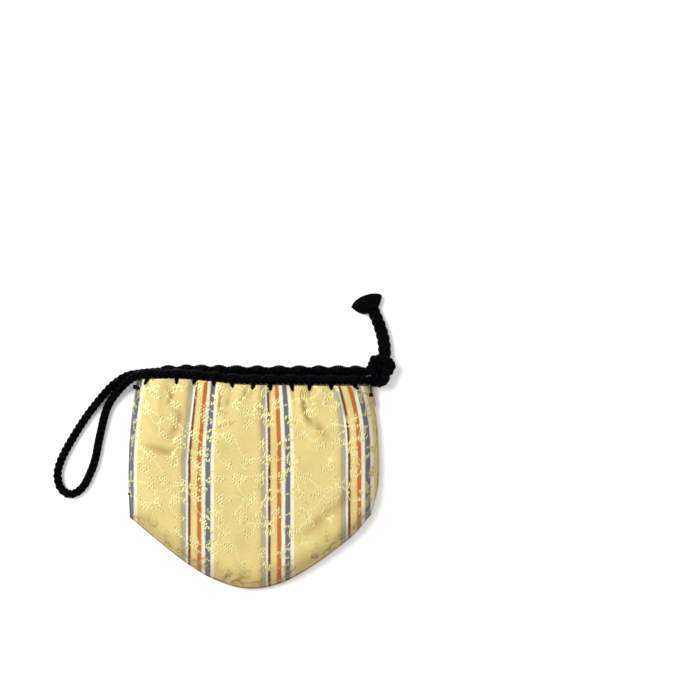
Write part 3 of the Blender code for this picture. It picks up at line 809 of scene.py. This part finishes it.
def panel(name, skin, columns, rows, look, node):
    """One brocade panel, with its folded edges, gathers and creases, and the cloth's own coordinates."""
    across = spread(columns, BODY_WIDTH, SEAM_STEPS, SEAM_STEPS)
    along = spread(rows, float(skin.length(0.5)), SEAM_STEPS, MOUTH_STEPS)
    s, t = np.meshgrid(across, along, indexing="ij")
    place = skin.flat(s, t)
    x, y, z = place[..., 0], place[..., 1], skin.height(s, t)
    width = skin.width(t)
    from_bottom = t * skin.length(s)
    # Painted shade in the creases, in the tucks below the stitches and along the seam line
    painted_fold_shade = np.zeros_like(z)
    if skin.side > 0:
        inside = smoothstep(np.minimum(np.minimum(s, 1 - s) * width, from_bottom) / EDGE_FADE)
        change, painted_fold_shade = creased(x, y)
        z = z + change * (EDGE_CREASES + (1 - EDGE_CREASES) * inside)
        painted_fold_shade = np.maximum(painted_fold_shade, TUCK_SHADE * skin.tucks(s, (1 - t) * skin.length(s)))
        painted_fold_shade = np.maximum(painted_fold_shade, SEAM_SHADE * np.exp(-((from_bottom / SEAM_SHADE_WIDTH) ** 2)))
    grid = np.stack([x, y, z], axis=-1)
    made = new_piece(name, grid.reshape(-1, 3), grid_faces(columns, rows, skin.side < 0), look, node)
    stripes_u, stripes_v = cloth_place(x, y, z)
    if skin.side < 0:
        stripes_u = stripes_u + BACK_STRIPE_SHIFT
    u, v = run_over(grid, 0), run_over(grid, 1)
    mesh = made.data
    corners = np.empty(len(mesh.loops), np.int32)
    mesh.loops.foreach_get("vertex_index", corners)
    for layer_name, pair in (("cloth", (stripes_u, stripes_v)), ("weave", (u, v))):
        layer = mesh.uv_layers.new(name=layer_name)
        flat = np.stack([pair[0].ravel()[corners], pair[1].ravel()[corners]], axis=1)
        layer.uv.foreach_set("vector", flat.astype(np.float32).ravel())
    # Painted shade, darker towards the bottom and the right edges and the lower right, where the cloth turns
    # away from the light
    turned = smoothstep(1 - from_bottom / BOTTOM_SHADE_REACH)
    turned += RIGHT_SHADE * smoothstep(1 - (1 - s) * width / RIGHT_SHADE_REACH)
    turned += CORNER_SHADE * smoothstep(s) * smoothstep(1 - from_bottom / CORNER_SHADE_REACH)
    pattern_and_painted_shade = (
        ("figure", tile_at(FIGURE, u, v)), ("vine", tile_at(VINES, u, v)),
        ("turned", np.minimum(turned, 1)), ("painted_fold_shade", painted_fold_shade),
    )
    for attribute, values in pattern_and_painted_shade:
        layer = mesh.attributes.new(attribute, "FLOAT", "POINT")
        layer.data.foreach_set("value", values.ravel().astype(np.float32))
    thickness = made.modifiers.new("Cloth thickness", "SOLIDIFY")
    thickness.thickness = SHOWN_CLOTH
    thickness.offset = -1
    return made


def inner_face(skin, s, t, depth):
    """Points at a depth behind the panel's outer face, without its gathers."""
    step = 0.004

    def at(s, t):
        place = skin.flat(s, t)
        return np.stack([place[..., 0], place[..., 1], skin.height(s, t, False)], axis=-1)

    across = at(np.minimum(s + step, 1), t) - at(np.maximum(s - step, 0), t)
    along = at(s, np.minimum(t + step, 1)) - at(s, np.maximum(t - step, 0))
    normal = unit(np.cross(across, along)) * skin.side
    return at(s, t) - normal * depth


# The lining's grid, and how far in from its edges the first of its lines lie
LINING_GRID = (90, 70)
LINING_STEPS = LINING_INSET + np.array([0, 0.7, 1.5, 2.5, 3.8, 5.2]) * MM
LINING_MOUTH_STEPS = LINING_HEM + np.array([0, 1.0, 2.5, 4.5]) * MM
LINING_RIPPLE = 0.12 * MM
# Where along Y the lining shows in the right slit
LINING_SHOWN_FROM = 29.0 * MM
LINING_SHOWN_TO = 43.0 * MM


def lining(look):
    """The lining bag: two faces that share one edge round the sides and the bottom, open at the mouth."""
    columns, rows = LINING_GRID
    across = spread(columns, BODY_WIDTH, LINING_STEPS, LINING_STEPS)
    verts, faces = [], []
    for skin in (FRONT, BACK):
        along = spread(rows, float(skin.length(0.5)), LINING_STEPS, LINING_MOUTH_STEPS)
        s, t = np.meshgrid(across, along, indexing="ij")
        face = inner_face(skin, s, t, CLOTH + LINING_GAP)
        ripple = np.sin(face[..., 0] / (2.1 * MM)) * np.sin(face[..., 1] / (3.4 * MM) + 1)
        face[..., 2] += LINING_RIPPLE * ripple
        seam = np.zeros(s.shape, bool)
        seam[[0, -1], :] = True
        seam[:, 0] = True
        rim = FRONT.flat(s, t)
        shown = smoothstep((rim[..., 1] - LINING_SHOWN_FROM) / (4 * MM))
        shown *= smoothstep((LINING_SHOWN_TO - rim[..., 1]) / (3 * MM))
        rim[..., 0] += np.where(s > 0.5, shown * (LINING_INSET + LINING_SHOWN), 0.0)
        face[seam] = np.concatenate([rim[seam], np.full((seam.sum(), 1), SEAM_HEIGHT)], axis=1)
        offset = len(verts) * columns * rows
        verts.append(face.reshape(-1, 3))
        faces += [tuple(k + offset for k in quad) for quad in grid_faces(columns, rows, skin.side < 0)]
    made = new_piece("lining_bag", np.concatenate(verts), faces, look, "lining")
    weld = made.modifiers.new("Sewn edge", "WELD")
    weld.merge_threshold = 0.02 * MM
    thickness = made.modifiers.new("Lining thickness", "SOLIDIFY")
    thickness.thickness = LINING_CLOTH * 0.8
    thickness.offset = -1
    return made


class Strands:
    """Collects tubes into one mesh, with a UV map that runs along each of them."""

    def __init__(self):
        self.verts, self.faces, self.uvs = [], [], []
        self.count = 0

    def tube(self, centres, radial, half_out, half_side, sides=8, taper=None):
        """A tube round the centres. radial is the direction of its flat side at each of them."""
        tangent = unit(np.gradient(centres, axis=0))
        radial = unit(radial - (radial * tangent).sum(-1, keepdims=True) * tangent)
        side = np.cross(tangent, radial)
        size = np.ones(len(centres)) if taper is None else taper
        angles = 2 * np.pi * np.arange(sides) / sides
        out = np.cos(angles)[None, :, None] * radial[:, None] * half_out
        along_side = np.sin(angles)[None, :, None] * side[:, None] * half_side
        rings = centres[:, None] + (out + along_side) * size[:, None, None]
        rings[..., 2] = np.maximum(rings[..., 2], REST_HEIGHT)
        start = self.count
        run = run_along(centres) / MM
        for i in range(len(centres) - 1):
            for k in range(sides):
                a, b = start + i * sides + k, start + i * sides + (k + 1) % sides
                self.faces.append((a, b, b + sides, a + sides))
                low, high = k / sides, (k + 1) / sides
                self.uvs += [(low, run[i]), (high, run[i]), (high, run[i + 1]), (low, run[i + 1])]
        last = start + (len(centres) - 1) * sides
        self.faces.append(tuple(range(start + sides - 1, start - 1, -1)))
        self.faces.append(tuple(range(last, last + sides)))
        self.uvs += [(0.0, run[0])] * sides + [(0.0, run[-1])] * sides
        self.verts.append(rings.reshape(-1, 3))
        self.count += len(centres) * sides

    def piece(self, name, look, slot, *nodes):
        made = new_piece(name, np.concatenate(self.verts), self.faces, look, *nodes)
        layer = made.data.uv_layers.new(name="strand")
        layer.uv.foreach_set("vector", np.array(self.uvs, np.float32).ravel())
        return made


def carried_frames(centres):
    """Two directions across the line at each of its points, which turn as little as they can."""
    tangent = unit(np.gradient(centres, axis=0))
    first = np.cross(tangent[0], (0.0, 0.0, 1.0))
    normals = [first / np.linalg.norm(first)]
    for direction in tangent[1:]:
        turned = normals[-1] - direction * (normals[-1] @ direction)
        normals.append(turned / np.linalg.norm(turned))
    normals = np.array(normals)
    return normals, np.cross(tangent, normals)


# The round braid: strands wind each way, over one and under one
BRAID_STRANDS = 3
BRAID_TURN = 7.5 * MM
BRAID_STEP = 0.36 * MM
# Its strands and its core, as shares of its radius
STRAND_MIDDLE = 0.64
STRAND_WAVE = 0.16
STRAND_HALF_HEIGHT = 0.32
STRAND_HALF_WIDTH = 0.38
CORE_RADIUS = 0.54
KNOT_SWELL = 1.04
# The plait of the tail: turns of its three strands and of their four plies, and sizes
PLAIT_TURNS = 2.3
PLAIT_HALF_WIDTHS = ((0.0, 3.3), (0.35, 3.3), (1.0, 3.2))
PLAIT_HALF_STRAND = 1.95 * MM
PLAIT_RISE = 0.62 * MM
PLY_TURNS = 6.0
PLY_OFFSET = 1.0 * MM
PLY_HALF_HEIGHT = 0.80 * MM
PLY_HALF_WIDTH = 0.95 * MM
# The head: points round it, rings from its underside to its crown, and how far these draw in
HEAD_POINTS = 72
HEAD_RINGS = 11
HEAD_ROUNDING = 0.30
UP = np.array([0.0, 0.0, 1.0])


def braid(strands, route, radius):
    """A round braid along a route of points in mm."""
    rough = smooth_line(in_metres(route))(np.linspace(0, 1, 600))
    run = run_along(rough)
    count = max(int(run[-1] / BRAID_STEP), 8)
    at = np.linspace(0, run[-1], count)
    centres = np.stack([np.interp(at, run, rough[:, k]) for k in range(3)], axis=1)
    one, two = carried_frames(centres)
    wave = STRAND_WAVE * np.cos(2 * np.pi * BRAID_STRANDS * at / BRAID_TURN)
    for direction in (1, -1):
        lift = radius * (STRAND_MIDDLE + direction * wave)
        for k in range(BRAID_STRANDS):
            angle = direction * 2 * np.pi * at / BRAID_TURN + 2 * np.pi * k / BRAID_STRANDS
            out = one * np.cos(angle)[:, None] + two * np.sin(angle)[:, None]
            path = centres + out * lift[:, None]
            strands.tube(path, out, radius * STRAND_HALF_HEIGHT, radius * STRAND_HALF_WIDTH, 8)
    strands.tube(centres[::2], one[::2], radius * CORE_RADIUS, radius * CORE_RADIUS, 6)
    return centres


def drawstring(look):
    strands = Strands()
    centres = braid(strands, CORD_ROUTE, CORD_DIAMETER / 2)
    made = strands.piece("braided_drawstring", look, "cord_silk", "drawstring_cord")
    return made, centres


def knot(look):
    strands = Strands()
    for turn in KNOT_TURNS:
        braid(strands, turn, CORD_DIAMETER / 2 * KNOT_SWELL)
    return strands.piece("braided_knot", look, "cord_silk", "cord_knot")


def tail(look):
    """A plait of three strands, wider than it is high."""
    strands = Strands()
    run = np.linspace(0, 1, 90)
    centres = smooth_line(in_metres(TAIL_ROUTE))(run)
    sideways = unit(np.cross(unit(np.gradient(centres, axis=0)), UP))
    half_width = np.interp(run, *zip(*PLAIT_HALF_WIDTHS)) * MM
    for k in range(3):
        phase = 2 * np.pi * (PLAIT_TURNS * run + k / 3)
        swing = (half_width - PLAIT_HALF_STRAND) * np.sin(phase)
        rise = PLAIT_RISE * np.sin(2 * phase)
        path = centres + sideways * swing[:, None] + UP * rise[:, None]
        for ply in range(4):
            twist = 2 * np.pi * (PLY_TURNS * run + ply / 4)
            out = sideways * np.cos(twist)[:, None] + UP * np.sin(twist)[:, None]
            strands.tube(path + out * PLY_OFFSET, out, PLY_HALF_HEIGHT, PLY_HALF_WIDTH, 8)
    return strands.piece("plaited_tail", look, "cord_silk", "braided_tail")


def head(look):
    """The flat head: rings from the outline in to a low crown, above and below."""
    line = smooth_line([*in_metres(HEAD_OUTLINE), in_metres(HEAD_OUTLINE[0])])
    rim = line(np.linspace(0, 1, HEAD_POINTS, endpoint=False))
    centre = rim.mean(axis=0)
    rings = []
    for j in range(HEAD_RINGS):
        angle = math.pi * (j / (HEAD_RINGS - 1) - 0.5)
        inwards = 1 - HEAD_ROUNDING * (1 - math.cos(angle) ** 0.8)
        level = HEAD_THICKNESS / 2 * (1.03 + math.sin(angle) * 0.98)
        ring = centre + (rim - centre) * inwards
        rings.append(np.concatenate([ring, np.full((HEAD_POINTS, 1), level)], axis=1))
    verts = np.concatenate(rings)
    bottom = rings[0].mean(axis=0) - UP * 0.02 * MM
    top = rings[-1].mean(axis=0) + UP * 0.25 * MM
    low, high, last = len(verts), len(verts) + 1, len(verts) - HEAD_POINTS
    verts = np.concatenate([verts, [bottom, top]])
    faces = []
    for a in range(last):
        b = a + 1 if (a + 1) % HEAD_POINTS else a + 1 - HEAD_POINTS
        faces.append((a, b, b + HEAD_POINTS, a + HEAD_POINTS))
    for k in range(HEAD_POINTS):
        faces.append((low, (k + 1) % HEAD_POINTS, k))
        faces.append((high, last + k, last + (k + 1) % HEAD_POINTS))
    strands = Strands()
    strands.verts, strands.faces = [verts], faces
    for corner in (corner for face in faces for corner in face):
        x, y = verts[corner][:2] / MM
        strands.uvs.append(((x + y) * 0.05, (y - x) * 0.6))
    return strands.piece("smooth_head", look, "head_silk", "tail_head")


# Threads on each side of a loop's middle one, by the side of the pouch
SIDE_THREADS = {1: 2, -1: 3}
# Where a loop passes over the cord, in degrees from the mouth's side, and how many points its line has
LOOP_ANGLES = (125, 95, 65, 35, 5, -25, -60, -100)
LOOP_POINTS = 40


def cord_centre(centres, x, on_front):
    """The centre of the cord where it passes x along one mouth edge."""
    third = len(centres) // 3
    part = centres[:third] if on_front else centres[-third:]
    return part[np.abs(part[:, 0] - x).argmin()]


def loop_thread(skin, s, centre, i, k, lean, leg):
    """The line of thread k of loop i, up its leg on the cloth and over the cord."""
    length = float(skin.length(s))
    points = []
    # Places down the leg: how far below the mouth, then how far apart and how deep its threads lie, in mm
    for below, apart, depth in ((leg, 0.08, -0.1), (leg * 0.55, 0.16, -0.5), (0.3 * MM, 0.26, -0.5)):
        at = inner_face(skin, np.array([s]), np.array([1 - below / length]), depth * MM)[0]
        at[0] += k * apart * MM + lean * below / leg
        points.append(at)
    turn = CORD_DIAMETER / 2 + THREAD_DIAMETER * 0.4 + (0.25 * MM if skin.side < 0 else 0.0)
    low = turn - 0.085 * k * k * MM
    swell = 0.70 + 0.06 * math.sin(3.7 * i)
    for angle in LOOP_ANGLES:
        wide = (0.3 + swell * max(math.cos(math.radians(angle * 0.9 - 10)), 0)) * MM
        y = low * math.cos(math.radians(angle))
        z = low * math.sin(math.radians(angle)) * skin.side
        points.append(centre + np.array([k * wide, y, z]))
    return smooth_line(points)(np.linspace(0, 1, LOOP_POINTS))


def mouth_threads(name, skin, places, centres, look, node):
    """Loops of five threads in front and seven behind, which part over the cord and meet in a short leg."""
    strands = Strands()
    radius = THREAD_DIAMETER / 2
    front = skin.side > 0
    side_threads = SIDE_THREADS[skin.side]
    taper = np.interp(np.linspace(0, 1, LOOP_POINTS), [0, 0.08, 0.2, 1], [0.45, 0.8, 1.0, 1.0])
    for i, x in enumerate(places):
        s = skin.share_at(x * MM)
        centre = cord_centre(centres, x * MM, front)
        lean = (0.5 * math.sin(2.1 * i) + (0.9 if front and i in (0, len(places) - 1) else 0.0)) * MM
        lean *= -1 if i == 0 else 1
        leg = LEG_LENGTH * (1 + 0.22 * math.sin(5.3 * i + 2.0))
        for k in range(-side_threads, side_threads + 1):
            line = loop_thread(skin, s, centre, i, k, lean, leg)
            radial = line - centre
            radial[:, 0] = 0
            strands.tube(line, radial, radius * 0.85, radius, 7, taper)
    beside = np.array([0.0, math.cos(RUNNING_ANGLE), math.sin(RUNNING_ANGLE)])
    beside *= skin.side * (CORD_DIAMETER / 2 + 0.2 * MM)
    run = np.linspace(places[0] - 0.5 * RUN_PAST_END_LOOP, places[-1] + RUN_PAST_END_LOOP, 240)
    path = np.array([cord_centre(centres, x * MM, front) for x in run]) + beside
    path[:, 2] += 0.12 * MM * np.sin(run * 2.4)
    strands.tube(path, UP, radius, radius, 7)
    return strands.piece(name, look, "thread_silk", node)


def on_front(x, y, above):
    """The point over the front panel at a place in mm, clear of its outer face."""
    s, t = np.array([0.5]), np.array([0.5])
    for _ in range(12):
        at = FRONT.flat(s, t)[0]
        s = np.clip(s + (x * MM - at[0]) / BODY_WIDTH, 0, 1)
        t = np.clip(t + (y * MM - at[1]) / FRONT.length(s), 0, 1)
    return inner_face(FRONT, s, t, -above)[0]


# Turns of thread round a side seam, in mm: a place on the front, the edge beside it, and X below it
LEFT_TACK = (
    ((-51.6, 40.3), (-54.9, 41.2), -54.0),
    ((-51.9, 40.9), (-54.8, 41.7), -54.0),
    ((-52.6, 40.0), (-54.9, 40.7), -54.0),
)
RIGHT_TACK = (
    ((53.3, 37.6), (54.6, 37.6), 54.0),
    ((53.5, 38.2), (54.5, 38.1), 54.0),
    ((53.5, 37.0), (54.8, 37.0), 54.0),
)
SEAM_STITCH = (((-56.9, -8.0), (-57.5, -8.2), -57.0),)
# Threads along the slits' edges, as places in mm with a height over the cloth
LEFT_SLIT_THREAD = ((-52.7, 44.6, 0.2), (-53.9, 42.9, 0.3), (-54.6, 41.3, 0.3))
RIGHT_SLIT_THREAD = ((53.9, 42.6, 0.6), (54.1, 40.4, 0.3), (54.5, 37.4, 0.2), (55.1, 34.6, 0.1))


def seam_thread(name, turns, radius, look, *nodes):
    """Turns of thread round a side seam, each from a place on the front past the edge."""
    strands = Strands()
    for (x, y), (edge_x, edge_y), under_x in turns:
        points = [on_front(x + (edge_x - x) * share, y + (edge_y - y) * share, radius * lift)
                  for share, lift in ((0.0, -0.8), (0.25, 0.7), (0.6, 1.0), (0.9, 1.0))]
        out = math.copysign(0.45, edge_x)
        points.append(np.array([edge_x + out, edge_y, SEAM_HEIGHT / MM]) * MM)
        points.append(np.array([under_x, edge_y - 0.2, 1.6]) * MM)
        line = smooth_line(points)(np.linspace(0, 1, 44))
        strands.tube(line, np.array([0.1, 1.0, 0.1]), radius, radius, 8)
    return strands.piece(name, look, "thread_silk", *nodes)


def slit_thread(name, places, radius, look):
    """A thin thread laid along a slit's edge from the cord down."""
    strands = Strands()
    run = np.linspace(0, 1, 30)
    line = smooth_line([on_front(x, y, lift * MM) for x, y, lift in places])(run)
    taper = np.interp(run, [0, 0.3, 1], [1.0, 0.5, 0.4])
    strands.tube(line, UP, radius, radius, 8, taper)
    return strands.piece(name, look, "thread_silk")


# The lights' names, places, sizes and powers, and what the rest of the studio gives
LIGHTS = (
    ("key", (-0.82, 0.50, 1.20), 0.8, 27.0),
    ("fill", (0.9, 0.2, 1.3), 1.4, 4.0),
)
WORLD_STRENGTH = 0.78
FLOOR_HALF = 1.6
FLOOR_COLOUR = (0.92, 0.92, 0.92, 1)


def studio():
    """A plain pale floor, one wide soft light from the upper left and an even fill."""
    mesh = bpy.data.meshes.new("floor")
    corners = [(x * FLOOR_HALF, y * FLOOR_HALF, 0) for x, y in ((-1, -1), (1, -1), (1, 1), (-1, 1))]
    mesh.from_pydata(corners, [], [(0, 1, 2, 3)])
    graph = Graph("floor_white")
    graph.set(Base_Color=FLOOR_COLOUR, Roughness=0.9)
    mesh.materials.append(graph.material)
    placed("floor", mesh)
    for name, place, size, power in LIGHTS:
        light = bpy.data.lights.new(name, "AREA")
        light.size = size
        light.energy = power
        lamp = placed(name, light)
        lamp.location = place
        lamp.rotation_mode = "QUATERNION"
        lamp.rotation_quaternion = (-lamp.location).to_track_quat("-Z", "Y")
    world = bpy.data.worlds.new("studio")
    world.use_nodes = True
    background = world.node_tree.nodes["Background"]
    background.inputs[0].default_value = WHITE
    background.inputs[1].default_value = WORLD_STRENGTH
    bpy.context.scene.world = world
    bpy.context.scene.view_settings.view_transform = "Standard"


def camera():
    """Looks straight down on the middle of the photograph's frame."""
    view = bpy.data.cameras.new("camera")
    view.lens = LENS
    view.sensor_width = SENSOR
    view.clip_start = 0.01
    made = placed("camera", view)
    made.location = VIEW_CENTRE + Vector((0, 0, VIEW_HEIGHT))
    bpy.context.scene.camera = made


def main():
    camera()
    cord_silk = silk_look("cord_silk_finish", 3, 0.9)
    thread_silk = silk_look("thread_silk_finish", 2, 1.2)
    head_silk = silk_look("head_silk_finish", 1, 4.0, 0.8)
    cord, centres = drawstring(cord_silk)
    knot_piece = knot(cord_silk)
    tail_piece = tail(cord_silk)
    head_piece = head(head_silk)
    studio()
    brocade = brocade_look()
    front = panel("front_brocade", FRONT, *FRONT_GRID, brocade, "front_panel")
    back = panel("back_brocade", BACK, *BACK_GRID, brocade, "back_panel")
    bag = lining(lining_look())
    mouth_threads("front_thread_loops", FRONT, FRONT_LOOPS, centres, thread_silk, "front_mouth_loops")
    mouth_threads("back_thread_loops", BACK, BACK_LOOPS, centres, thread_silk, "back_mouth_loops")
    seam_thread("left_tack_thread", LEFT_TACK, 0.42 * MM, thread_silk, "left_bar_tack")
    seam_thread("right_tack_thread", RIGHT_TACK, 0.32 * MM, thread_silk, "right_bar_tack")
    seam_thread("seam_stitch", SEAM_STITCH, 0.35 * MM, thread_silk)
    slit_thread("left_slit_thread", LEFT_SLIT_THREAD, 0.3 * MM, thread_silk)
    slit_thread("right_slit_thread", RIGHT_SLIT_THREAD, 0.42 * MM, thread_silk)


main()
